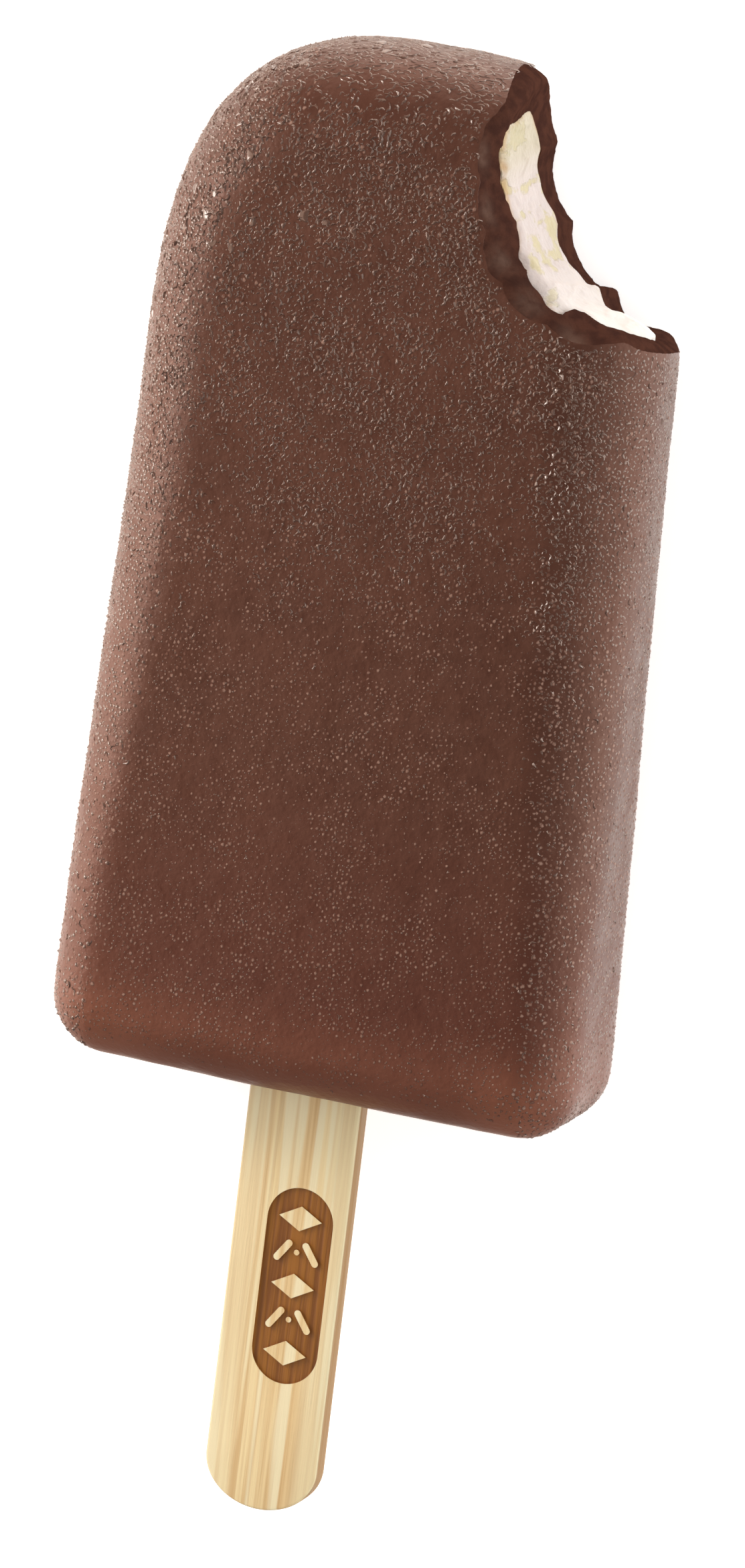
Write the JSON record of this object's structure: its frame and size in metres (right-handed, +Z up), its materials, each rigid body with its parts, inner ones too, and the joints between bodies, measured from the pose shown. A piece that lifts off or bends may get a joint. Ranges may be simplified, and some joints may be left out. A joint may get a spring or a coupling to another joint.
{
  "type": "ice cream bar",
  "caption": "Chocolate coated ice cream bar on a flat wooden stick, with a bite out of one top corner that shows the pale core, lying on its back.",
  "frame": {"origin": "on the surface the bar lies on, under the middle of the whole length from the stick's free end to the bar's top", "axes": "+Y along the bar, away from the stick; +X across it, towards the bitten side; +Z up, out of the front face"},
  "size_m": [0.0478, 0.1288, 0.0175],
  "materials": {
    "chocolate": "satin",
    "ice_cream": "satin",
    "wood": "matte"
  },
  "bodies": {
    "root": {"chocolate_coating": "chocolate", "ice_cream_core": "ice_cream", "stick": "wood"}
  },
  "joints": []
}
